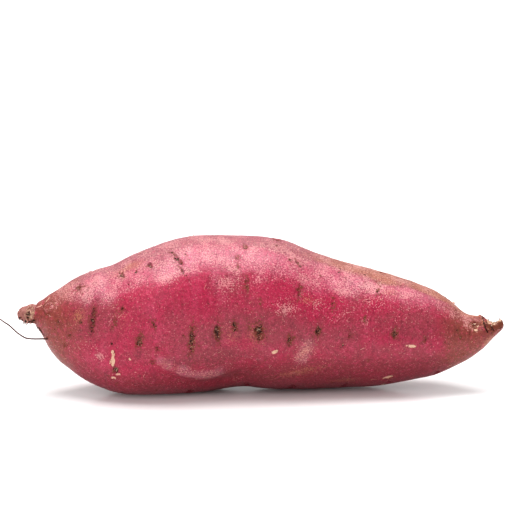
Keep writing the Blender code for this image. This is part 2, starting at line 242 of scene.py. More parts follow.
# The cut face of the stem stub: its centre along and up, and half its sizes round the stub and along it
CUT_FACE = (0.0247, 0.505, 0.0030, 0.0020)

# How far from the middle the cork of the stem stub starts, and the depth of the groove round it
STUB_EDGE, STUB_GROOVE = 0.0928, 0.00085

# The torn tip: how far from the middle its shoulder is, the bite's centre along and up, its radii along,
# across and up, and how much the bite is lifted
TIP_SHOULDER = 0.0933
BITE_ALONG, BITE_UP = 0.9755, 0.488
BITE_RADII = (0.0046, 0.0060, 0.0044)
BITE_LIFT = 0.0009

# The horn that stands up past the bite, as its height and its distance from the middle, and the slant
# of the tip's end down to its point, as its size and the height of the point
TIP_HORN, TIP_HORN_AT = 0.0008, 0.0984
TIP_SLANT, TIP_POINT_UP = 0.0005, 0.0290

# The skin's mesh: points of the solid closer than SAME_POINT are one, and it is smoothed in rounds. Past
# END_FINE from the middle, and as far past a mark as FINE_MARGINS, it is twice as fine, and past
# STUB_FINE and TIP_FINE twice again
SAME_POINT = 0.00001
SMOOTHING_ROUNDS = 8
FINE_MARGINS = (0.0006, 0.0007)
END_FINE, STUB_FINE, TIP_FINE = 0.0875, 0.0915, 0.0920

# The long dry root hair at the stem end, from its root outwards, as the front view shows it
LONG_HAIR = (
    (0.0606, 0.349), (0.050, 0.3485), (0.035, 0.3475), (0.019, 0.350), (0.0134, 0.3575), (0.0066, 0.369),
    (-0.0041, 0.3925), (-0.0146, 0.425), (-0.0206, 0.439), (-0.0254, 0.447), (-0.0371, 0.472),
    (-0.041, 0.481),
)
HAIR_TAPER = 0.8

# Pale strands that lie on the neck: places along and up, and thickness
PALE_STRANDS = (
    (((0.0735, 0.628), (0.066, 0.602), (0.0575, 0.576)), 0.00044),
    (((0.0553, 0.566), (0.047, 0.553), (0.0386, 0.544)), 0.00036),
    (((0.0150, 0.478), (0.018, 0.462), (0.0208, 0.456)), 0.00032),
)

# Fine root hairs on the skin: the stretch of the length that they lie on, the least and most of their
# lengths, and how far a free end may rise
FINE_HAIR_SPAN = (0.06, 0.95)
FINE_HAIR_LENGTHS = (0.0010, 0.0036)
FINE_HAIR_RISES = (0.0, 0.0, 0.0002, 0.0006)
FINE_HAIR_SEED = 41

# How deep a thread starts under the skin, and how far its middle keeps from the skin and the table
ROOTED, LIFT_OFF, TABLE_GAP = 0.0004, 0.00005, 0.0003

# Curled flakes of skin, on the front: place along and up, length, width, lean and curl in degrees
FLAKES = (
    (0.1985, 0.108, 0.0026, 0.0010, 92, 70),
    (0.2070, 0.130, 0.0022, 0.0009, 84, 60),
    (0.1990, 0.250, 0.0016, 0.0007, 5, 70),
    (0.1905, 0.205, 0.0018, 0.0006, 8, 60),
    (0.5330, 0.270, 0.0013, 0.0006, 30, 80),
    (0.9750, 0.440, 0.0018, 0.0008, 20, 60),
)
FLAKE_THICKNESS = 0.00016

# Flakes of the unseen upper sides: how many, the stretch of the length that they lie on, and the least
# and most of their lengths and curls
HIDDEN_FLAKES = 6
HIDDEN_FLAKE_SPAN = (0.15, 0.90)
HIDDEN_FLAKE_LENGTHS, HIDDEN_CURLS = (0.0015, 0.0030), (50, 120)
FLAKE_SEED = 53

# Torn fibres in the bite of the tip, and dry vessel ends under the stem stub: how many, the least and
# most of their lengths and thicknesses, the stretch of the root's length that they stand on, how far
# sideways from the bite's middle, and the stub's turns from the front in degrees
TIP_FIBRES, STUB_FIBRES = 26, 8
TIP_FIBRE_SPAN, STUB_FIBRE_SPAN = (BITE_ALONG - 0.012, BITE_ALONG + 0.018), (0.004, 0.032)
TIP_FIBRE_SIDE, STUB_FIBRE_TURNS = 0.0032, (-110, 10)
TIP_FIBRE_LENGTHS, TIP_FIBRE_WIDTHS = (0.0005, 0.0016), (0.00014, 0.00030)
STUB_FIBRE_LENGTHS, STUB_FIBRE_WIDTHS = (0.0004, 0.0011), (0.00030, 0.00055)
FIBRE_SEED = 61

# The fine hair that stands up from the torn tip, as the front view shows it, and the place that it
# stands a little behind
TIP_HAIR = ((0.9835, 0.462), (0.979, 0.478), (0.974, 0.4925))
TIP_HAIR_PLACE, TIP_HAIR_BEHIND = (0.986, 0.425), 0.0012

# Black crumbs of dried sap under the stem stub and below the neck: place along and up, and thickness
CRUMBS = (
    (0.004, 0.480, 0.0011), (0.009, 0.468, 0.0009), (0.016, 0.460, 0.0011), (0.023, 0.454, 0.0009),
    (0.029, 0.452, 0.0008), (0.041, 0.418, 0.0008), (0.045, 0.402, 0.0006),
)

# The thin line of dried sap along the neck's lower edge, and its thickness
SAP_LINE = ((0.0430, 0.420), (0.0470, 0.400), (0.0510, 0.384), (0.0550, 0.366))
SAP_LINE_WIDTH = 0.0005

MASKS = ("scar", "halo", "tan", "dust_and_sheen", "flesh", "cork", "neck_and_sheen", "rim", "belly_and_shade", "brown", "bloom_and_sheen", "crack")


def linear(colour):
    """A hex sRGB colour as linear red, green and blue."""
    shares = [int(colour[i : i + 2], 16) / 255 for i in (1, 3, 5)]
    return [c / 12.92 if c <= 0.04045 else ((c + 0.055) / 1.055) ** 2.4 for c in shares]


def colour_property(name, description, colour):
    return bpy.props.FloatVectorProperty(
        name=name, description=description, subtype="COLOR", size=3, min=0.0, max=1.0, default=linear(colour)
    )


def number_property(name, description, value, unit="NONE"):
    return bpy.props.FloatProperty(name=name, description=description, default=value, min=0.0, unit=unit)


def size_property(name, description, size):
    return number_property(name, description, size, "LENGTH")


class SweetPotatoSkin(bpy.types.PropertyGroup):
    pitch: size_property("Mesh pitch", "Distance between the points of the skin's mesh", 0.00088)
    furrow: size_property("Furrow height", "Height of the faint furrows that run round the root", 0.00007)
    grain: size_property("Grain height", "Height of the finest grain of the skin", 0.00005)
    crimson: colour_property("Crimson", "Clean skin", "#A51A42")
    pink: colour_property("Pink", "Paler, younger skin", "#BE3C60")
    mauve: colour_property("Mauve", "Duller, weathered skin", "#8A3440")
    wine: colour_property("Wine", "Darkest skin, in the low specks", "#661428")
    # Also painted as shade on the underside and as a sheen along the crest
    belly_and_shade: colour_property("Belly", "Browner skin of the underside", "#74262A")
    # Also painted as a grazing sheen along the crest
    tan: colour_property("Tan", "Skin that has turned to cork in patches", "#AA6E52")
    olive: colour_property("Olive", "Brown skin round a scar", "#6E3420")
    # Also painted as shade in the groove round the stem stub
    black: colour_property("Scar core", "Dry pits of the scars", "#200804")
    # Also painted as the specks of the highlight on the upper skin
    dust_and_sheen: colour_property("Dust", "Pale scuffed specks", "#D9A09C")
    flesh: colour_property("Flesh", "Cream flesh where the skin is torn off", "#D2AC92")
    cork: colour_property("Cork", "Corky stem stub", "#9A655E")
    # Painted highlight: the pale film of the upper skin and the fold ridges, and one scuffed patch
    bloom_and_sheen: colour_property("Bloom", "Thin pale film on the upper skin", "#C89CAC")
    # Also painted as a grazing sheen along the crest towards the tip
    rust_and_sheen: colour_property("Rust", "Orange brown skin near both ends", "#80402E")


class SweetPotatoHairs(bpy.types.PropertyGroup):
    thick: size_property("Long hair", "Thickness of the long root hair where it leaves the skin", 0.00070)
    fine: size_property("Fine hair", "Thickness of the short root hairs on the skin", 0.00011)
    count: bpy.props.IntProperty(
        name="Fine hairs", description="How many short root hairs lie on the skin", default=120, min=0
    )
    brown: colour_property("Dark hair", "Dry long root hair", "#44201C")
    pale: colour_property("Pale hair", "Young root hair", "#EEC8B4")
    worn: colour_property("Worn hair", "Lighter stretches of the long root hair", "#5A302A")
    straw: colour_property("Straw", "Darker stretches of the young root hair", "#B98A62")
    sap: colour_property("Sap", "Dried sap under the stem stub", "#24140E")
    crust: colour_property("Sap crust", "Browner edges of the dried sap", "#4A3024")


class SweetPotatoStage(bpy.types.PropertyGroup):
    floor: colour_property("Floor", "White sheet under the root", "#F4F3F3")
    key: number_property("Top light", "Power of the soft box overhead", 21.0, "POWER")
    fill: number_property("Front light", "Power of the soft box in front", 7.5, "POWER")
    sky: number_property("Surroundings", "Strength of the white surroundings", 0.65)
    # The sheet's glow is painted fill light, turned down under the root as a painted shadow
    glow: number_property("Floor glow", "Light that comes up through the white sheet", 0.11)


class SweetPotatoSettings(bpy.types.PropertyGroup):
    skin: bpy.props.PointerProperty(type=SweetPotatoSkin)
    hairs: bpy.props.PointerProperty(type=SweetPotatoHairs)
    stage: bpy.props.PointerProperty(type=SweetPotatoStage)


def in_view(along, up):
    """The point of the upright plane through the long axis that the front view shows at (along, up)."""
    return Vector(((along - 0.5) * LENGTH, 0.0, 0.0)) + VIEW_UP * (up * THICKNESS) + SET_DOWN


EYE = in_view(EYE_ALONG, EYE_UP) - VIEW_AHEAD * EYE_DISTANCE


def seen_point(tree, along, up):
    """Where the front view's line of sight through (along, up) meets the skin, and the normal there."""
    return tree.ray_cast(EYE, in_view(along, up) - EYE)[:2]


def along_table(table, along):
    """The value of a (place, value) table at a place along the length, eased between its rows."""
    for (a, value_a), (b, value_b) in zip(table, table[1:]):
        if along <= b:
            f = max(0.0, (along - a) / (b - a))
            return value_a + (value_b - value_a) * f * f * (3 - 2 * f)
    return table[-1][1]


def turned_point(tree, along, turn):
    """Where a line from the root's core, turned from the front by turn, meets the skin."""
    sway, height = along_table(SWAY, along) * THICKNESS, along_table(CORE_HEIGHT, along) * THICKNESS
    core = Vector(((along - 0.5) * LENGTH, sway, height)) + SET_DOWN
    return tree.ray_cast(core, Vector((0.0, -math.cos(turn), math.sin(turn))))[:2]


def random_point(tree, draw, span, turns=(0, 360)):
    """A point on the skin at random, in a span of the length and between two turns in degrees."""
    along, turn = draw.uniform(*span), math.radians(draw.uniform(*turns))
    return turned_point(tree, along, turn)


def ways_on_skin(normal, lean):
    """Two directions on the skin: round the root, leaning by some degrees from upright, and along it."""
    across = normal.cross(Vector((1.0, 0.0, 0.0))).normalized()
    if across.z < 0:
        across = -across
    along = across.cross(normal).normalized()
    if along.x < 0:
        along = -along
    turn = math.radians(lean)
    return across * math.cos(turn) + along * math.sin(turn), along * math.cos(turn) - across * math.sin(turn)


def only_active(obj):
    """Leaves obj as the one selected object, so that operators act on it alone."""
    bpy.ops.object.select_all(action="DESELECT")
    obj.select_set(True)
    bpy.context.view_layer.objects.active = obj


def apply_modifiers(obj):
    for modifier in list(obj.modifiers):
        bpy.ops.object.modifier_apply(modifier=modifier.name)


def read_points(collection, attribute):
    values = np.empty(len(collection) * 3, np.float32)
    collection.foreach_get(attribute, values)
    return values.reshape(-1, 3).astype(float)


def lumps(points, size, seed=0.0):
    """Smooth noise from -1 to 1 at each point, with lumps of about this size (one number or one per axis)."""
    shift = Vector((seed, 1.7 * seed, -seed))
    return np.array([noise.noise(Vector(p) + shift) for p in points / np.array(size)])


def ease(values, low, high):
    """0 below low, 1 above high and a smooth step between."""
    f = np.clip((values - low) / (high - low), 0.0, 1.0)
    return f * f * (3 - 2 * f)


def bell(values, middle=0.0, width=1.0):
    """1 at the middle, falling smoothly towards 0 within about twice the width to both sides."""
    return np.exp(-(((values - middle) / width) ** 2))


class Relief:
    """The skin's points, how far each one rises from the bare form, how far it is lifted straight up,
    and the masks that the finish reads."""

    def __init__(self, mesh):
        self.points = read_points(mesh.vertices, "co")
        self.normals = read_points(mesh.vertex_normals, "vector")
        self.height = np.zeros(len(self.points))
        self.lift = np.zeros(len(self.points))
        self.masks = {name: np.zeros(len(self.points)) for name in MASKS}

    def around(self, place, normal, ways, halves, spread):
        """The points within spread times a mark's half sizes, and their distances in its two directions."""
        offsets = self.points - np.array(place)
        near = np.flatnonzero(
            (np.abs(offsets @ np.array(ways[0])) < halves[0] * spread)
            & (np.abs(offsets @ np.array(ways[1])) < halves[1] * spread)
            & (self.normals @ np.array(normal) > MARK_FACING)
            & (np.linalg.norm(offsets, axis=1) < MARK_REACH)
        )
        close = offsets[near]
        return near, close @ np.array(ways[0]) / halves[0], close @ np.array(ways[1]) / halves[1]

    def raise_mask(self, name, near, values):
        self.masks[name][near] = np.maximum(self.masks[name][near], values)

    def raise_all(self, name, values):
        self.raise_mask(name, slice(None), values)

    def write(self, mesh):
        moved = self.points + self.normals * self.height[:, None]
        moved[:, 2] += self.lift
        moved[:, 2] = np.maximum(moved[:, 2], 0.0)  # nothing sinks into the table
        mesh.vertices.foreach_set("co", moved.astype(np.float32).ravel())
        for name, values in self.masks.items():
            layer = mesh.attributes.new(name, "FLOAT", "POINT")
            layer.data.foreach_set("value", values.astype(np.float32))
        mesh.update()


def bare_skin(pitch):
    """The root's own form as one fine even mesh."""
    mesh = ROOT.data.copy()
    mesh.materials.clear()
    skin = bpy.data.objects.new("skin", mesh)
    bpy.context.scene.collection.objects.link(skin)
    only_active(skin)
    bpy.ops.object.mode_set(mode="EDIT")
    bpy.ops.mesh.select_all(action="SELECT")
    bpy.ops.mesh.remove_doubles(threshold=SAME_POINT)
    bpy.ops.object.mode_set(mode="OBJECT")
    rounded = skin.modifiers.new("rounded", "SUBSURF")
    rounded.levels = rounded.render_levels = 1
    even = skin.modifiers.new("even", "REMESH")
    even.mode = "VOXEL"
    even.voxel_size = pitch
    softened = skin.modifiers.new("softened", "SMOOTH")
    softened.factor = 0.5
    softened.iterations = SMOOTHING_ROUNDS
    apply_modifiers(skin)
    return skin


def all_scars(tree):
    """Every scar and tick as (place, normal, ways, half sizes, core, halo, on the solid too)."""
    marks = []
    for rows, on_solid in ((SCARS, True), (TICKS, False)):
        for along, up, length, width, lean, core, halo in rows:
            place, normal = seen_point(tree, along, up)
            ways, halves = ways_on_skin(normal, lean), (length / 2, width / 2)
            marks.append((place, normal, ways, halves, core, halo, on_solid))
    draw = random.Random(HIDDEN_SEED)
    finish = random.Random(HIDDEN_SEED + 1)
    for row, degrees in enumerate(HIDDEN_ROWS):
        along = HIDDEN_FROM + HIDDEN_PITCH * (0.25 + 0.5 * (row % 2))
        while along < HIDDEN_TO:
            turn = math.radians(degrees + draw.uniform(-HIDDEN_STRAY, HIDDEN_STRAY))
            place, normal = turned_point(tree, along, turn)
            halves = (draw.uniform(*HIDDEN_LENGTHS) / 2, draw.uniform(*HIDDEN_WIDTHS) / 2)
            ways = ways_on_skin(normal, draw.uniform(-HIDDEN_LEAN, HIDDEN_LEAN))
            tone = LOW_ROW_TONE if degrees == HIDDEN_ROWS[-1] else 1.0
            core, halo = tone * finish.uniform(0.5, 1.0), tone * finish.uniform(0.5, 1.0)
            marks.append((place, normal, ways, halves, core, halo, True))
            along += HIDDEN_PITCH * draw.uniform(*HIDDEN_GAPS)
    return marks


def lenticels(tree):
    """Small pores at random all over the skin, in the same terms as the scars."""
    draw = random.Random(LENTICEL_SEED)
    marks = []
    for _ in range(LENTICELS):
        place, normal = random_point(tree, draw, LENTICEL_SPAN)
        halves = (draw.uniform(*LENTICEL_LENGTHS) / 2, draw.uniform(*LENTICEL_WIDTHS) / 2)
        ways = ways_on_skin(normal, draw.uniform(-HIDDEN_LEAN, HIDDEN_LEAN))
        marks.append((place, normal, ways, halves, draw.uniform(0.1, 0.9), draw.uniform(0.3, 0.9), False))
    return marks


def all_patches(tree):
    """Every patch of other skin as (kind, place, normal, ways, half sizes, amount)."""
    patches = []
    for kind, rows in PATCHES.items():
        for along, up, size_round, size_along, lean, amount in rows:
            place, normal = seen_point(tree, along, up)
            halves = (size_round / 2, size_along / 2)
            patches.append((kind, place, normal, ways_on_skin(normal, lean), halves, amount))
    draw = random.Random(HIDDEN_PATCH_SEED)
    for kind, count, least, most in HIDDEN_PATCHES:
        for _ in range(count):
            turn = math.radians(draw.uniform(HIDDEN_ROWS[0], HIDDEN_ROWS[-1]))
            place, normal = turned_point(tree, draw.uniform(*HIDDEN_PATCH_SPAN), turn)
            halves = (draw.uniform(least, most) / 2, draw.uniform(least, most) / 2)
            ways = ways_on_skin(normal, draw.uniform(-HIDDEN_LEAN, HIDDEN_LEAN))
            patches.append((kind, place, normal, ways, halves, draw.uniform(0.5, 1.0)))
    return patches


def near_marks(centres, marks):
    """Which of the centres lie on a mark or at its edge."""
    found = np.zeros(len(centres), bool)
    for place, _, ways, halves, _, _, _ in marks:
        offsets = centres - np.array(place)
        round_it = offsets @ np.array(ways[0]) / (halves[0] * 1.1 + FINE_MARGINS[0])
        along_it = offsets @ np.array(ways[1]) / (halves[1] * 1.3 + FINE_MARGINS[1])
        near = np.linalg.norm(offsets, axis=1) < halves[0] + MARK_SURROUNDINGS
        found |= near & (np.hypot(round_it, along_it) < 1)
    return found


def split_faces(skin, wanted):
    """Splits the wanted faces in four, so that they hold finer relief."""
    mesh = skin.data
    bpy.context.tool_settings.mesh_select_mode = (False, False, True)
    bpy.ops.object.mode_set(mode="EDIT")
    bpy.ops.mesh.select_all(action="DESELECT")
    bpy.ops.object.mode_set(mode="OBJECT")
    mesh.polygons.foreach_set("select", wanted)
    bpy.ops.object.mode_set(mode="EDIT")
    bpy.ops.mesh.subdivide(number_cuts=1, ngon=False)
    bpy.ops.object.mode_set(mode="OBJECT")


def press_scar(relief, mark):
    """One scar: a ragged cluster of pits with crumbly lips, in a shallow valley of browned skin."""
    place, normal, ways, halves, core, halo, on_solid = mark
    spread = 1 + 0.0060 / halves[1]
    near, round_it, along_it = relief.around(place, normal, ways, halves, spread)
    points = relief.points[near]

    def reach_past(margin_round, margin_along):
        share_round = halves[0] / (halves[0] + margin_round)
        share_along = halves[1] / (halves[1] + margin_along)
        return np.hypot(round_it * share_round, along_it * share_along)

    ragged = 0.45 * lumps(points, 0.0018, place.x * 900) + 0.35 * lumps(points, 0.0009, place.z * 700)
    reach = np.hypot(round_it, along_it) + ragged
    depth = min(SCAR_DEPTH, halves[1]) * (0.35 + 0.65 * core)
    pit = np.clip(1 - reach, 0, 1) ** 0.8 * (1 + 0.5 * lumps(points, 0.0009, 5.0))
    lips = bell(reach, 1.18, 0.26) * (0.8 + 0.8 * lumps(points, 0.0017, 7.0))
    relief.height[near] += -depth * pit + 0.26 * depth * lips
    if on_solid:
        relief.height[near] -= VALLEY_DEPTH * halo * bell(1.4 * reach_past(*VALLEY_MARGINS))
    margin, strength = (SCAR_MARGIN, core) if on_solid else (TICK_MARGIN, 1.35 * core)
    browned = reach_past(margin, margin) + 0.5 * ragged
    relief.raise_mask("scar", near, strength * np.clip(1.0 - reach * 0.75, 0, 1))
    relief.raise_mask("halo", near, halo * np.exp(-(browned**2) * 1.2))


def raise_bud(relief, tree, along, up, radius, height):
    """One bud: a low ring with a dome in it."""
    place, normal = seen_point(tree, along, up)
    near, round_it, along_it = relief.around(place, normal, ways_on_skin(normal, 0), (radius, radius), 2.5)
    reach = np.hypot(round_it, along_it) + 0.15 * lumps(relief.points[near], 0.0014, 15.0)
    ring = bell(reach, 1.0, 0.28)
    dome = bell(reach, 0.0, 0.5)
    groove = bell(reach, 1.7, 0.3)
    relief.height[near] += height * (ring + 0.7 * dome - 0.3 * groove)
    relief.raise_mask("dust_and_sheen", near, 0.9 * ring)
    relief.raise_mask("halo", near, 0.6 * groove)


def lay_patch(relief, kind, place, normal, ways, halves, amount):
    """One patch of other skin. Torn skin leaves a step with a sharp edge."""
    near, round_it, along_it = relief.around(place, normal, ways, halves, 2.2)
    points = relief.points[near]
    if kind == "flesh":
        reach = np.hypot(round_it, along_it) + 0.25 * lumps(points, 0.0012, 3.0)
        relief.height[near] -= TORN_STEP * ease(-reach, -1.15, -0.85)
        relief.raise_mask(kind, near, amount * np.clip(1.5 - reach * 0.9, 0, 1))
        return
    reach = np.hypot(round_it, along_it) + 0.30 * lumps(points, 0.0040, 8.0)
    relief.raise_mask(kind, near, amount * np.exp(-(np.clip(reach, 0, None) ** 2) * 1.3))


def distance_to_line(points, line):
    """How far each point lies from a line of straight stretches."""
    least = np.full(len(points), 1.0)
    for start, end in zip(line, line[1:]):
        a, b = np.array(start), np.array(end)
        share = np.clip((points - a) @ (b - a) / ((b - a) @ (b - a)), 0, 1)
        least = np.minimum(least, np.linalg.norm(points - a - share[:, None] * (b - a), axis=1))
    return least


def line_on_skin(tree, places, steps=6):
    """The points on the skin that a list of (along, up) places follows, with steps between each two."""
    line = []
    for (along_a, up_a), (along_b, up_b) in zip(places, places[1:]):
        for k in range(steps):
            f = k / steps
            line.append(seen_point(tree, along_a + (along_b - along_a) * f, up_a + (up_b - up_a) * f)[0])
    line.append(seen_point(tree, *places[-1])[0])
    return line


def fold_skin(relief, tree):
    """Raises the folds, sinks the creases and cuts the cracks of the tip."""
    for places, width, height, scuffed in FOLDS:
        away = distance_to_line(relief.points, line_on_skin(tree, places))
        near = np.flatnonzero(away < width * 2)
        wander = 1 + 0.35 * lumps(relief.points[near], 0.006, 2.0)
        swell = bell(away[near], 0.0, 0.5 * width) * wander
        relief.height[near] += height * swell
        # The pale skin on the ridge is scuffed skin and a painted highlight
        worn = scuffed * np.clip(swell * (0.8 + 0.9 * lumps(relief.points[near], 0.005, 16.0)), 0, 1)
        relief.raise_mask("bloom_and_sheen", near, 1.5 * worn)
        relief.raise_mask("dust_and_sheen", near, 0.55 * worn)
        relief.raise_mask("tan", near, 0.5 * scuffed * np.clip(swell, 0, 1))
    for places, width, depth in CRACKS:
        away = distance_to_line(relief.points, line_on_skin(tree, places))
        near = np.flatnonzero(away < width * 3)
        ragged = away[near] / width + 0.3 * lumps(relief.points[near], 0.0011, 4.0)
        relief.height[near] += depth * (0.25 * bell(ragged, 1.3, 0.4) - bell(ragged))
        relief.raise_mask("crack", near, np.clip(1.3 - 0.8 * ragged, 0, 1))


def weather_skin(relief, settings):
    """Gives the whole skin its furrows, swellings, grain and pale scuffs, a painted highlight of pale film
    and specks on its upper side, a painted tan and brown sheen along its crest and a browner belly, partly
    painted shade."""
    points = relief.points
    relief.height += settings.furrow * lumps(points, (0.0030, 0.0120, 0.0120), 1.0)
    relief.height += 0.9 * settings.furrow * lumps(points, 0.0055, 6.0)
    relief.height += settings.grain * lumps(points, 0.0017, 9.0)
    along = points[:, 0] / LENGTH + 0.5
    blotch = lumps(points, 0.011, 12.0)
    sideways = np.hypot(relief.normals[:, 1], relief.normals[:, 2])
    rise = relief.normals[:, 2] / np.maximum(sideways, 0.35) + 0.06 * blotch
    # The crest of the upper side: tan, dark brown and, towards the tip, orange brown are painted on it as a
    # grazing sheen
    crest_sheen = ease(rise, 0.89, 0.99)
    toward_tip = ease(along, 0.50, 0.75)
    # The underside is painted darker and browner, partly as painted shade
    relief.raise_all("belly_and_shade", np.maximum(ease(-rise, 0.15, 0.85), 0.75 * crest_sheen))
    relief.raise_all("neck_and_sheen", 0.9 * crest_sheen * toward_tip)
    relief.raise_all("tan", crest_sheen * (0.35 + 0.45 * toward_tip))
    mottle = lumps(points, 0.006, 13.0)
    # Above an edge that wanders along the length, the upper side is painted pale, as a painted highlight of
    # pale film and specks
    edge = np.interp(along, *zip(*SHEEN_EDGE))
    sheen_specks = ease(rise - edge + 0.14 * mottle, 0.40, 0.74) * (0.60 + 0.6 * mottle)
    scuffed = 0.42 * ease(lumps(points, (0.016, 0.010, 0.010), 14.0) + 0.4 * mottle, 0.05, 0.45)
    scuffed *= 1 - 0.75 * ease(-rise, -0.25, 0.10)
    before_tip = 1 - 0.85 * ease(along + 0.01 * blotch, 0.925, 0.955)
    relief.raise_all("bloom_and_sheen", ease(rise - edge + 0.10 * mottle, 0.32, 0.78) * before_tip)
    relief.raise_all("dust_and_sheen", np.clip(np.maximum(sheen_specks, scuffed), 0, 1) * before_tip)


def dress_stub(relief, wander):
    """Gives the stem stub its cork, its crust and the groove round it, with painted shade in the groove."""
    points, x = relief.points, relief.points[:, 0]
    stub = ease(-(x + wander), STUB_EDGE - 0.0006, STUB_EDGE + 0.0006)
    near = np.flatnonzero(stub > 0)
    crust = lumps(points[near], 0.0022, 22.0) + 0.6 * lumps(points[near], 0.0010, 23.0)
    relief.height[near] += stub[near] * (0.00042 * crust - 0.0005 * ease(-crust, 0.35, 0.75))
    relief.raise_all("cork", stub)
    groove = bell(x + wander, -STUB_EDGE, 0.0007)
    relief.height -= STUB_GROOVE * groove
    # Dark dots painted in the groove as painted shade, except where it faces up
    relief.raise_all("scar", 0.35 * groove * ease(-relief.normals[:, 2], -0.7, 0.1))


def dress_tip(relief, wander):
    """Gives the torn tip its flesh and brown rim, lifts its edge and slants its end."""
    points, x = relief.points, relief.points[:, 0]
    up = BITE_UP * THICKNESS
    y = along_table(SWAY, BITE_ALONG) * THICKNESS
    bite = Vector(((BITE_ALONG - 0.5) * LENGTH, y, (up - y * VIEW_UP.y) / VIEW_UP.z)) + SET_DOWN
    reach = np.linalg.norm((points - np.array(bite)) / np.array(BITE_RADII), axis=1)
    reach += 0.10 * lumps(points, 0.0014, 31.0)
    past_shoulder = ease(x + wander, TIP_SHOULDER - 0.0005, TIP_SHOULDER + 0.0005)
    torn = ease(-reach, -1.12, -1.00) * past_shoulder
    relief.raise_all("flesh", torn)
    relief.raise_all("rim", bell(reach, 1.14, 0.16) * past_shoulder)
    edge = bell(reach, 1.26, 0.05) * past_shoulder
    relief.raise_all("crack", edge * (0.6 + 0.9 * lumps(points, 0.0016, 36.0)))
    relief.lift += BITE_LIFT * ease(-reach, -1.25, -1.00) * (x > 0.088)
    upward = ease(relief.normals[:, 2], 0.0, 0.5)
    relief.lift += TIP_HORN * bell(x, TIP_HORN_AT, 0.0008) * upward
    relief.height += torn * 0.00030 * lumps(points, (0.0040, 0.0008, 0.0008), 33.0)
    strands = ease(lumps(points, (0.0030, 0.0009, 0.0009), 35.0), 0.10, 0.35)
    relief.raise_all("rim", 0.75 * torn * strands)
    relief.height += 0.00020 * relief.masks["rim"] * (0.6 + lumps(points, 0.0012, 34.0))
    below_point = np.clip((TIP_POINT_UP - points[:, 2]) / 0.0012, -1, 1)
    relief.points[:, 0] += TIP_SLANT * below_point * ease(x, 0.0975, 0.0993)


def dress_ends(relief):
    """Browns the skin towards both ends, and dresses the ends."""
    x = relief.points[:, 0]
    wander = 0.0009 * lumps(relief.points, 0.004, 21.0)
    toward_ends = np.maximum(ease(-(x + 3 * wander), 0.064, 0.090), ease(x + 3 * wander, 0.062, 0.090))
    relief.raise_all("neck_and_sheen", toward_ends)
    dress_stub(relief, wander)
    dress_tip(relief, wander)


def dress_cut(relief, tree):
    """The cut face of the stem stub: an oval with a raised pale lip and pits in its middle."""
    place, normal = seen_point(tree, *CUT_FACE[:2])
    near, round_it, along_it = relief.around(place, normal, ways_on_skin(normal, 10), CUT_FACE[2:], 1.6)
    points = relief.points[near]
    reach = np.hypot(round_it, along_it) + 0.16 * lumps(points, 0.0012, 41.0)
    lip = bell(reach, 0.95, 0.16)
    inside = ease(-reach, -0.95, -0.75)
    pits = inside * ease(lumps(points, 0.0011, 43.0), 0.32, 0.48)
    relief.height[near] += 0.00045 * lip - 0.00025 * inside - 0.00045 * pits
    relief.raise_mask("flesh", near, np.maximum(0.56 * lip, 0.52 * inside))
    relief.raise_mask("scar", near, pits)


def add_node(tree, kind, settings=None, inputs=None):
    """Adds a node, sets its settings, and gives each input its value or links it to another node's output."""
    node = tree.nodes.new(kind)
    for name, value in (settings or {}).items():
        setattr(node, name, value)
    for name, value in (inputs or {}).items():
        if isinstance(value, bpy.types.NodeSocket):
            tree.links.new(value, node.inputs[name])
        else:
            node.inputs[name].default_value = value
    return node


# Input and output numbers of the Mix node in its colour mode, and settings that several nodes share
MIX_A, MIX_B, MIX_RESULT = 6, 7, 2
MULTIPLY, MULTIPLY_ADD = {"operation": "MULTIPLY"}, {"operation": "MULTIPLY_ADD"}
SMOOTH_STEP = {"interpolation_type": "SMOOTHSTEP"}


def new_material(name):
    material = bpy.data.materials.new(name)
    material.use_nodes = True
    tree = material.node_tree
    return material, tree, tree.nodes["Principled BSDF"]


def lay_patterns(tree, patterns):
    """Noise by name, from (size of a feature along the root, size round it, detail, roughness), in metres."""
    place = add_node(tree, "ShaderNodeTexCoord").outputs["Object"]
    laid = {}
    for name, (size_along, size_round, detail, roughness) in patterns.items():
        scale = (1 / size_along, 1 / size_round, 1 / size_round)
        scaled = add_node(tree, "ShaderNodeMapping", None, {"Vector": place, "Scale": scale})
        feature = {"Vector": scaled.outputs["Vector"], "Scale": 1.0, "Detail": detail, "Roughness": roughness}
        laid[name] = add_node(tree, "ShaderNodeTexNoise", None, feature).outputs["Fac"]
    return laid


def paint_layers(tree, colour, rough, masks, patterns, layers):
    """Paints layers over a colour and a roughness. A layer is its colour, its roughness, the mask it follows,
    the pattern that breaks its edge and by how much, where its edge starts and ends, and its cover."""
    for over, over_rough, mask, pattern, gain, low, high, cover in layers:
        spread = {0: patterns[pattern], 1: gain, 2: masks[mask] if mask else 0.0}
        broken = add_node(tree, "ShaderNodeMath", MULTIPLY_ADD, spread).outputs[0]
        edge = {"Value": broken, "From Min": low + gain / 2, "From Max": high + gain / 2, "To Max": cover}
        share = add_node(tree, "ShaderNodeMapRange", SMOOTH_STEP, edge).outputs["Result"]
        painted = {"Factor": share, MIX_A: colour, MIX_B: (*over, 1.0)}
        colour = add_node(tree, "ShaderNodeMix", {"data_type": "RGBA"}, painted).outputs[MIX_RESULT]
        blended = {"Factor": share, "A": rough, "B": over_rough}
        rough = add_node(tree, "ShaderNodeMix", None, blended).outputs["Result"]
    return colour, rough


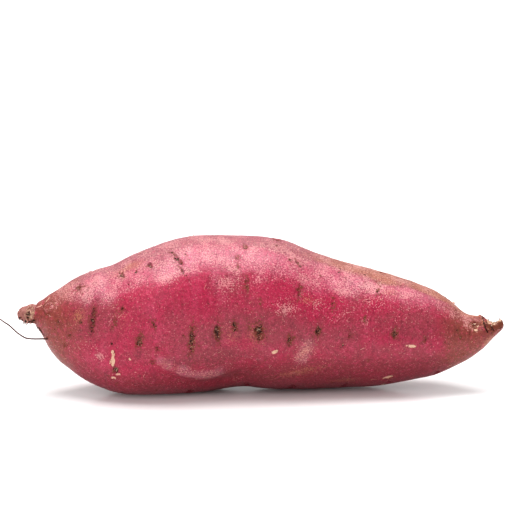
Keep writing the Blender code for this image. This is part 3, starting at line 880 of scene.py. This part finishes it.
def painted_material(name, colour, rough, ior, sizes, layers, masks=()):
    """A material with layers over its colour and roughness, and the outputs of its masks and patterns."""
    material, tree, shader = new_material(name)
    read = {
        mask: add_node(tree, "ShaderNodeAttribute", {"attribute_name": mask}).outputs["Fac"] for mask in masks
    }
    patterns = lay_patterns(tree, sizes)
    painted, rough = paint_layers(tree, (*colour, 1.0), rough, read, patterns, layers)
    tree.links.new(painted, shader.inputs["Base Color"])
    tree.links.new(rough, shader.inputs["Roughness"])
    shader.inputs["IOR"].default_value = ior
    return material, read, patterns


# Noise of the skin, as lay_patterns takes it. The real grain is finer: this is as fine as the render shows
SKIN_PATTERNS = {
    "blotches": (0.022, 0.026, 3.0, 0.55),
    "clouds": (0.010, 0.014, 3.0, 0.6),
    "furrows": (0.0016, 0.0080, 2.0, 0.5),
    "specks": (0.0013, 0.0013, 2.0, 0.6),
    "crumbs": (0.0010, 0.0010, 2.0, 0.7),
    "dots": (0.0008, 0.0008, 1.0, 0.6),
    "grain": (0.0005, 0.0005, 1.0, 0.5),
}

# Height of the bump that each pattern makes all over, and that crumbs make where a mask lies
PATTERN_BUMPS = (("furrows", 0.00012), ("specks", 0.00018), ("grain", 0.00016))
MASK_BUMPS = (("halo", 0.00035), ("cork", 0.00040), ("flesh", 0.00020))


def skin_material(s):
    # Sweet potato periderm: a thin waxy crimson skin over pale flesh, with freckles, scuffs and dry scars.
    # It gives the eye a satin gloss that breaks into sparkles on its grain, and dry matt browned spots
    # Painted light among the layers: a highlight on the upper skin and fold ridges, a sheen along the crest,
    # shade on the underside and in the stem stub's groove
    layers = (
        (s.mauve, 0.44, None, "blotches", 1.0, -0.02, 0.14, 0.58),
        (s.pink, 0.38, None, "clouds", 1.0, 0.02, 0.16, 0.42),
        (s.mauve, 0.46, "brown", "clouds", 0.9, 0.15, 0.90, 0.85),
        # Darker underside, partly painted shade, and part of the crest's painted sheen
        (s.belly_and_shade, 0.50, "belly_and_shade", "clouds", 0.8, 0.05, 0.80, 0.62),
        # Pale film: a painted highlight on the upper skin and the fold ridges
        (s.bloom_and_sheen, 0.45, "bloom_and_sheen", "clouds", 0.9, 0.20, 1.10, 0.19),
        # Orange brown ends, and the crest's painted sheen towards the tip
        (s.rust_and_sheen, 0.50, "neck_and_sheen", "clouds", 0.8, 0.12, 0.85, 0.84),
        (s.wine, 0.42, None, "furrows", -1.0, 0.04, 0.22, 0.30),
        (s.wine, 0.42, None, "specks", -1.0, 0.02, 0.18, 0.38),
        (s.pink, 0.38, None, "specks", 1.0, 0.03, 0.18, 0.45),
        (s.wine, 0.42, None, "grain", -1.0, 0.05, 0.17, 0.58),
        (s.dust_and_sheen, 0.45, None, "grain", 1.0, 0.13, 0.20, 0.28),
        # Tan corky patches, and the crest's painted sheen
        (s.tan, 0.50, "tan", "grain", 2.0, 0.30, 1.00, 0.70),
        # Pale scuffs, and the specks of the painted highlight on the upper skin
        (s.dust_and_sheen, 0.50, "dust_and_sheen", "grain", 3.0, 0.58, 0.94, 0.48),
        (s.cork, 0.75, "cork", "crumbs", 0.6, 0.35, 0.60, 1.00),
        (s.rust_and_sheen, 0.70, "cork", "specks", 3.0, 1.10, 1.40, 0.70),
        (s.olive, 0.75, "halo", "crumbs", 2.8, 0.28, 0.80, 0.86),
        (s.flesh, 0.75, "halo", "grain", 3.0, 1.05, 1.25, 0.42),
        (s.black, 0.75, "halo", "dots", -3.0, 1.00, 1.20, 0.85),
        (s.flesh, 0.60, "flesh", "crumbs", 0.8, 0.45, 0.62, 1.00),
        (s.olive, 0.75, "rim", "dots", 2.0, 0.35, 0.65, 0.90),
        # Black scar cores, and painted shade in the stem stub's groove
        (s.black, 0.85, "scar", "dots", 3.0, 0.74, 0.90, 1.00),
        (s.flesh, 0.70, "scar", "grain", 3.0, 1.10, 1.20, 0.60),
        (s.black, 0.85, "crack", "dots", 1.4, 0.45, 0.75, 0.72),
    )
    material, masks, patterns = painted_material(
        "sweet_potato_periderm", s.crimson, 0.43, 1.4, SKIN_PATTERNS, layers, MASKS
    )
    tree = material.node_tree
    shader = tree.nodes["Principled BSDF"]
    shader.inputs["Coat Weight"].default_value = 0.12
    shader.inputs["Coat Roughness"].default_value = 0.3

    rising = [(patterns[pattern], size) for pattern, size in PATTERN_BUMPS]
    for mask, size in MASK_BUMPS:
        crumbly = {0: patterns["crumbs"], 1: masks[mask]}
        rising.append((add_node(tree, "ShaderNodeMath", MULTIPLY, crumbly).outputs[0], size))
    height = 0.0
    for pattern, size in rising:
        height = add_node(tree, "ShaderNodeMath", MULTIPLY_ADD, {0: pattern, 1: size, 2: height}).outputs[0]
    bump = add_node(tree, "ShaderNodeBump", None, {"Height": height, "Strength": 1.0, "Distance": 1.0})
    tree.links.new(bump.outputs["Normal"], shader.inputs["Normal"])
    return material


class SWEETPOTATO_OT_skin(bpy.types.Operator):
    """Models the skin over the root's own form, with its scars, folds, patches and ends"""

    bl_idname = "sweetpotato.skin"
    bl_label = "Skin"

    def execute(self, context):
        settings = context.scene.sweet_potato.skin
        skin = bare_skin(settings.pitch)
        tree = BVHTree.FromObject(skin, context.evaluated_depsgraph_get())
        marks = all_scars(tree)
        centres = read_points(skin.data.polygons, "center")
        split_faces(skin, near_marks(centres, marks) | (np.abs(centres[:, 0]) > END_FINE))
        centres = read_points(skin.data.polygons, "center")
        split_faces(skin, (centres[:, 0] < -STUB_FINE) | (centres[:, 0] > TIP_FINE))
        relief = Relief(skin.data)
        weather_skin(relief, settings)
        for patch in all_patches(tree):
            lay_patch(relief, *patch)
        fold_skin(relief, tree)
        for mark in marks + lenticels(tree):
            press_scar(relief, mark)
        for bud in BUDS:
            raise_bud(relief, tree, *bud)
        dress_ends(relief)
        dress_cut(relief, tree)
        relief.write(skin.data)
        skin.data.shade_smooth()
        skin.data.materials.append(skin_material(settings))
        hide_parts("sweet_potato")
        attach(skin, "root")
        return {"FINISHED"}


def skin_tree():
    """The finished skin, for what lies on it to be placed by."""
    return BVHTree.FromObject(bpy.data.objects["skin"], bpy.context.evaluated_depsgraph_get())


def dress_piece(piece, material):
    """Gives a finished piece its one material and makes it move with the root."""
    piece.data.materials.clear()
    piece.data.materials.append(material)
    piece.data.shade_smooth()
    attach(piece, "root")


def lay_threads(name, paths):
    """One mesh of round tapered threads, from paths of (points, thickness at the start, share left at
    the end)."""
    bpy.ops.object.select_all(action="DESELECT")
    bpy.ops.curve.primitive_bezier_curve_add(location=(0.0, 0.0, 0.0))
    threads = bpy.context.object
    threads.name = name
    curve = threads.data
    curve.splines.clear()
    curve.dimensions = "3D"
    curve.fill_mode = "FULL"
    curve.bevel_depth = 1.0
    curve.bevel_resolution = 1
    curve.use_fill_caps = True
    for points, thickness, left in paths:
        spline = curve.splines.new("NURBS")
        spline.points.add(len(points) - 1)
        spline.use_endpoint_u = True
        spline.order_u = 3
        spline.resolution_u = 2
        for k, point in enumerate(points):
            spline.points[k].co = (*point, 1.0)
            spline.points[k].radius = thickness / 2 * (1 + (left - 1) * k / (len(points) - 1))
    only_active(threads)
    bpy.ops.object.convert(target="MESH")
    return bpy.context.object


def streaked_material(name, colour, paler):
    """A dull dry finish that turns paler in stretches of about 3 mm."""
    layers = ((paler, 0.7, None, "lengths", 1.0, -0.05, 0.15, 0.6),)
    return painted_material(name, colour, 0.62, 1.5, {"lengths": (0.0030, 0.0030, 2.0, 0.5)}, layers)[0]


def creep(tree, place, normal, way, length, rise, draw, steps=5):
    """A path that wanders over the skin from place and rises from it at its free end."""
    points = [place - normal * ROOTED]
    for k in range(1, steps + 1):
        way = Matrix.Rotation(draw.uniform(-0.45, 0.45), 3, normal) @ way
        place, normal, _, _ = tree.find_nearest(place + way * (length / steps))
        way = (way - normal * way.dot(normal)).normalized()
        points.append(place + normal * (LIFT_OFF + rise * (k / steps) ** 2))
    for point in points:
        point.z = max(point.z, TABLE_GAP)
    return points


def at_depth(along, up, depth):
    """The point that the front view shows at (along, up), where y is depth."""
    way = in_view(along, up) - EYE
    return EYE + way * ((depth - EYE.y) / way.y)


class SWEETPOTATO_OT_root_hairs(bpy.types.Operator):
    """Adds the long root hair at the stem end, the pale strands on the neck and the fine hairs on the skin"""

    bl_idname = "sweetpotato.root_hairs"
    bl_label = "Root hairs"

    def execute(self, context):
        settings = context.scene.sweet_potato.hairs
        tree = skin_tree()
        root, _ = seen_point(tree, *LONG_HAIR[0])
        outside = [at_depth(along, up, root.y - 0.0002) for along, up in LONG_HAIR[1:]]
        points = [root + Vector((0.0006, 0.0005, 0.0)), root - Vector((0.0, 0.0002, 0.0)), *outside]
        # Dry root hair, a thin dead fibre: it gives the eye a dull dark line that is lighter in places
        dark = streaked_material("dry_root_hair", settings.brown, settings.worn)
        dress_piece(lay_threads("long_root_hair", [(points, settings.thick, HAIR_TAPER)]), dark)

        paths = []
        for places, thickness in PALE_STRANDS:
            on_skin = [seen_point(tree, *place) for place in places]
            points = [place + normal * thickness * 0.3 for place, normal in on_skin]
            points[0] = on_skin[0][0] - on_skin[0][1] * thickness
            paths.append((points, thickness, 0.5))
        draw = random.Random(FINE_HAIR_SEED)
        for _ in range(settings.count):
            place, normal = random_point(tree, draw, FINE_HAIR_SPAN)
            way, _ = ways_on_skin(normal, draw.uniform(-90, 90))
            rise = draw.choice(FINE_HAIR_RISES)
            points = creep(tree, place, normal, way, draw.uniform(*FINE_HAIR_LENGTHS), rise, draw)
            paths.append((points, settings.fine, 0.4))
        # Young root hair, a thin living fibre: it gives the eye fine cream lines that turn straw coloured
        pale = streaked_material("young_root_hair", settings.pale, settings.straw)
        dress_piece(lay_threads("fine_root_hairs", paths), pale)
        return {"FINISHED"}


def curl_flake(place, normal, way, length, width, curl, seed):
    """One thin flake of skin, its outline ragged, curled along its length and set on the skin."""
    bpy.ops.object.select_all(action="DESELECT")
    bpy.ops.mesh.primitive_grid_add(x_subdivisions=10, y_subdivisions=5, size=1.0)
    flake = bpy.context.object
    for vertex in flake.data.vertices:
        ragged = noise.noise(Vector((vertex.co.x * 2.5 + seed, vertex.co.y * 2.5, seed)))
        vertex.co.x *= length * (1 - 0.35 * abs(vertex.co.y * 2) ** 2 + 0.3 * ragged)
        vertex.co.y *= width * (1 - 0.45 * abs(vertex.co.x / length * 2) ** 2 + 0.3 * ragged)
    thick = flake.modifiers.new("thick", "SOLIDIFY")
    thick.thickness = FLAKE_THICKNESS
    thick.offset = 0.0
    curled = flake.modifiers.new("curled", "SIMPLE_DEFORM")
    curled.deform_method = "BEND"
    curled.deform_axis = "Y"
    curled.angle = math.radians(curl)
    apply_modifiers(flake)
    turn = Matrix((way, normal.cross(way), normal)).transposed().to_4x4()
    flake.matrix_world = Matrix.Translation(place + normal * 0.00015) @ turn
    bpy.ops.object.transform_apply(location=True, rotation=True, scale=True)
    return flake


def flake_material(s):
    # Peeled periderm: the pale inner face of a thin curl of skin, with some crimson left on it. It gives
    # the eye a light dry edge against the skin
    layers = (
        (s.pink, 0.5, None, "crumbs", 1.0, 0.04, 0.12, 0.8),
        (s.dust_and_sheen, 0.6, None, "crumbs", -1.0, 0.0, 0.1, 0.7),
    )
    sizes = {"crumbs": (0.0009, 0.0009, 2.0, 0.6)}
    return painted_material("peeled_periderm", s.flesh, 0.6, 1.45, sizes, layers)[0]


class SWEETPOTATO_OT_flakes(bpy.types.Operator):
    """Adds the curled flakes of skin beside the peeled spots"""

    bl_idname = "sweetpotato.flakes"
    bl_label = "Peeled flakes"

    def execute(self, context):
        tree = skin_tree()
        draw = random.Random(FLAKE_SEED)
        made = []
        for along, up, length, width, lean, curl in FLAKES:
            place, normal = seen_point(tree, along, up)
            way, _ = ways_on_skin(normal, lean)
            made.append(curl_flake(place, normal, way, length, width, curl, len(made)))
        for _ in range(HIDDEN_FLAKES):
            turn = math.radians(draw.uniform(HIDDEN_ROWS[0], HIDDEN_ROWS[3]))
            place, normal = turned_point(tree, draw.uniform(*HIDDEN_FLAKE_SPAN), turn)
            way, _ = ways_on_skin(normal, draw.uniform(-90, 90))
            length = draw.uniform(*HIDDEN_FLAKE_LENGTHS)
            curl = draw.uniform(*HIDDEN_CURLS)
            made.append(curl_flake(place, normal, way, length, length * 0.45, curl, len(made)))
        only_active(made[0])
        for flake in made:
            flake.select_set(True)
        bpy.ops.object.join()
        flakes = bpy.context.object
        flakes.name = "peeled_flakes"
        dress_piece(flakes, flake_material(context.scene.sweet_potato.skin))
        return {"FINISHED"}


class SWEETPOTATO_OT_fibres(bpy.types.Operator):
    """Adds the torn fibres of the tip, the vessel ends of the stem stub and the dried sap below it"""

    bl_idname = "sweetpotato.fibres"
    bl_label = "Torn fibres"

    def execute(self, context):
        settings = context.scene.sweet_potato.hairs
        tree = skin_tree()
        draw = random.Random(FIBRE_SEED)
        paths = []
        while len(paths) < TIP_FIBRES:
            x = (draw.uniform(*TIP_FIBRE_SPAN) - 0.5) * LENGTH
            y = along_table(SWAY, BITE_ALONG) * THICKNESS + draw.uniform(-TIP_FIBRE_SIDE, TIP_FIBRE_SIDE)
            place, _, _, _ = tree.ray_cast(Vector((x, y, THICKNESS * 2)), Vector((0.0, 0.0, -1.0)))
            if place is None:
                continue
            way = Vector((draw.uniform(-0.2, 0.9), draw.uniform(-0.5, 0.5), draw.uniform(0.3, 1.0)))
            way.normalize()
            length = draw.uniform(*TIP_FIBRE_LENGTHS)
            bend = Vector((draw.uniform(-0.4, 0.4), draw.uniform(-0.4, 0.4), 0.0)) * length
            points = [place - way * ROOTED, place + way * length * 0.5, place + way * length + bend]
            paths.append((points, draw.uniform(*TIP_FIBRE_WIDTHS), 0.4))
        tip, _ = seen_point(tree, *TIP_HAIR_PLACE)
        hair = [at_depth(along, up, tip.y + TIP_HAIR_BEHIND) for along, up in TIP_HAIR]
        paths.append((hair, settings.fine, 0.5))
        while len(paths) < TIP_FIBRES + 1 + STUB_FIBRES:
            place, normal = random_point(tree, draw, STUB_FIBRE_SPAN, STUB_FIBRE_TURNS)
            if place is None:
                continue
            way = (normal + Vector((draw.uniform(-0.8, 0.2), 0.0, draw.uniform(-0.3, 0.3)))).normalized()
            length = draw.uniform(*STUB_FIBRE_LENGTHS)
            points = [place - way * ROOTED, place + way * length * 0.5, place + way * length]
            paths.append((points, draw.uniform(*STUB_FIBRE_WIDTHS), 0.6))
        # Dry fibre, torn and frayed: it gives the eye brown strands with cream stretches
        brown = streaked_material("dry_fibre", settings.brown, settings.pale)
        dress_piece(lay_threads("torn_fibres", paths), brown)
        paths = []
        for along, up, thickness in CRUMBS:
            place, normal = seen_point(tree, along, up)
            out = (normal + Vector((0.0, 0.0, -0.5))).normalized() * thickness
            points = [place - out * 0.6, place + out * 0.1, place + out * draw.uniform(0.3, 0.7)]
            paths.append((points, thickness, 0.55))
        on_skin = [seen_point(tree, along, up) for along, up in SAP_LINE]
        paths.append(([place + normal * LIFT_OFF for place, normal in on_skin], SAP_LINE_WIDTH, 0.5))
        # Dried sap, a hard black crust: it gives the eye dull black crumbs with brown edges
        sap = streaked_material("dried_sap", settings.sap, settings.crust)
        dress_piece(lay_threads("sap_crumbs", paths), sap)
        return {"FINISHED"}


# The stage: the floor's size, each soft box's place and its width and height, what the lights face, and
# the exposure
FLOOR_SIZE = 12.0
TOP_BOX = ((-0.1, 0.10, 1.2), (1.2, 0.8))
FRONT_BOX = ((-0.5, -1.5, 0.9), (1.2, 1.0))
LIT_MIDDLE = Vector((0.0, 0.0, 0.03))
SENSOR_WIDTH_MM = 36.0
EXPOSURE = -0.18

# Half width of the painted shadow under the root, where the sheet's glow is turned down, its soft edge, the
# share of the glow that is left there, and how much longer the patch is than wide
DIM_HALF_WIDTH, DIM_EDGE, DIM_SHARE, DIM_STRETCH = 0.004, 0.018, 0.2, 4.5


def floor_material(colour, glow):
    # White acrylic sheet, satin, with a glow from beneath that is painted fill light: it gives the eye a
    # faint blurred reflection of the root and a light shadow, and its glow is turned down under the root as a
    # painted shadow
    material, tree, shader = new_material("white_acrylic_sheet")
    place = add_node(tree, "ShaderNodeTexCoord").outputs["Object"]
    squeeze = {0: place, 1: (1 / DIM_STRETCH, 1.0, 1.0)}
    oval = add_node(tree, "ShaderNodeVectorMath", MULTIPLY, squeeze).outputs["Vector"]
    away = add_node(tree, "ShaderNodeVectorMath", {"operation": "LENGTH"}, {0: oval}).outputs["Value"]
    rise = {"Value": away, "From Min": DIM_HALF_WIDTH, "From Max": DIM_HALF_WIDTH + DIM_EDGE}
    rise.update({"To Min": DIM_SHARE * glow, "To Max": glow})
    strength = add_node(tree, "ShaderNodeMapRange", SMOOTH_STEP, rise)
    tree.links.new(strength.outputs["Result"], shader.inputs["Emission Strength"])
    shader.inputs["Base Color"].default_value = (*colour, 1.0)
    shader.inputs["Roughness"].default_value = 0.20
    shader.inputs["IOR"].default_value = 1.49
    shader.inputs["Emission Color"].default_value = (1.0, 1.0, 1.0, 1.0)
    return material


def add_light(name, place, size, power):
    """A soft box at place, turned to the root's middle."""
    data = bpy.data.lights.new(name, "AREA")
    data.shape = "RECTANGLE"
    data.size, data.size_y = size
    data.energy = power
    light = bpy.data.objects.new(name, data)
    light.location = place
    light.rotation_mode = "QUATERNION"
    light.rotation_quaternion = (LIT_MIDDLE - Vector(place)).to_track_quat("-Z", "Y")
    bpy.context.scene.collection.objects.link(light)


class SWEETPOTATO_OT_stage(bpy.types.Operator):
    """Sets up the white floor, the soft boxes, the surroundings and the front view's camera"""

    bl_idname = "sweetpotato.stage"
    bl_label = "Stage"

    def execute(self, context):
        settings = context.scene.sweet_potato.stage
        bpy.ops.object.select_all(action="DESELECT")
        bpy.ops.mesh.primitive_plane_add(size=FLOOR_SIZE, location=(0.0, 0.0, 0.0))
        floor = context.object
        floor.name = "floor"
        floor.data.materials.append(floor_material(settings.floor, settings.glow))
        add_light("top_soft_box", *TOP_BOX, settings.key)
        add_light("front_soft_box", *FRONT_BOX, settings.fill)

        world = bpy.data.worlds.new("white_surroundings")
        context.scene.world = world
        world.use_nodes = True
        sky = world.node_tree.nodes["Background"]
        sky.inputs["Color"].default_value = (1.0, 1.0, 1.0, 1.0)
        sky.inputs["Strength"].default_value = settings.sky

        data = bpy.data.cameras.new("front_camera")
        camera = bpy.data.objects.new("front_camera", data)
        context.scene.collection.objects.link(camera)
        camera.location = EYE
        camera.rotation_mode = "QUATERNION"
        camera.rotation_quaternion = VIEW_AHEAD.to_track_quat("-Z", "Y")
        data.sensor_width = SENSOR_WIDTH_MM
        data.lens = data.sensor_width * EYE_DISTANCE / (LENGTH * PHOTO_PIXELS / ROOT_PIXELS)
        data.clip_start, data.clip_end = 0.1, 20.0
        context.scene.camera = camera
        view = context.scene.view_settings
        view.view_transform = "Standard"
        view.look = "Medium High Contrast"
        view.exposure = EXPOSURE
        return {"FINISHED"}


OPERATORS = (
    SWEETPOTATO_OT_skin,
    SWEETPOTATO_OT_root_hairs,
    SWEETPOTATO_OT_flakes,
    SWEETPOTATO_OT_fibres,
    SWEETPOTATO_OT_stage,
)


class SWEETPOTATO_PT_panel(bpy.types.Panel):
    """Lists the pieces of the sweet potato and their sizes and colours"""

    bl_label = "Sweet potato"
    bl_idname = "SWEETPOTATO_PT_panel"
    bl_space_type = "VIEW_3D"
    bl_region_type = "UI"
    bl_category = "Sweet potato"

    def draw(self, context):
        for group in ("skin", "hairs", "stage"):
            box = self.layout.box()
            settings = getattr(context.scene.sweet_potato, group)
            for name in settings.bl_rna.properties.keys():
                if name not in ("rna_type", "name"):
                    box.prop(settings, name)
        for operator in OPERATORS:
            self.layout.operator(operator.bl_idname)


CLASSES = (
    SweetPotatoSkin,
    SweetPotatoHairs,
    SweetPotatoStage,
    SweetPotatoSettings,
    *OPERATORS,
    SWEETPOTATO_PT_panel,
)


def register():
    for made in CLASSES:
        bpy.utils.register_class(made)
    bpy.types.Scene.sweet_potato = bpy.props.PointerProperty(type=SweetPotatoSettings)


def unregister():
    del bpy.types.Scene.sweet_potato
    for made in reversed(CLASSES):
        bpy.utils.unregister_class(made)


def main():
    register()
    bpy.ops.sweetpotato.skin()
    bpy.ops.sweetpotato.root_hairs()
    bpy.ops.sweetpotato.flakes()
    bpy.ops.sweetpotato.fibres()
    bpy.ops.sweetpotato.stage()


if __name__ == "__main__":
    main()
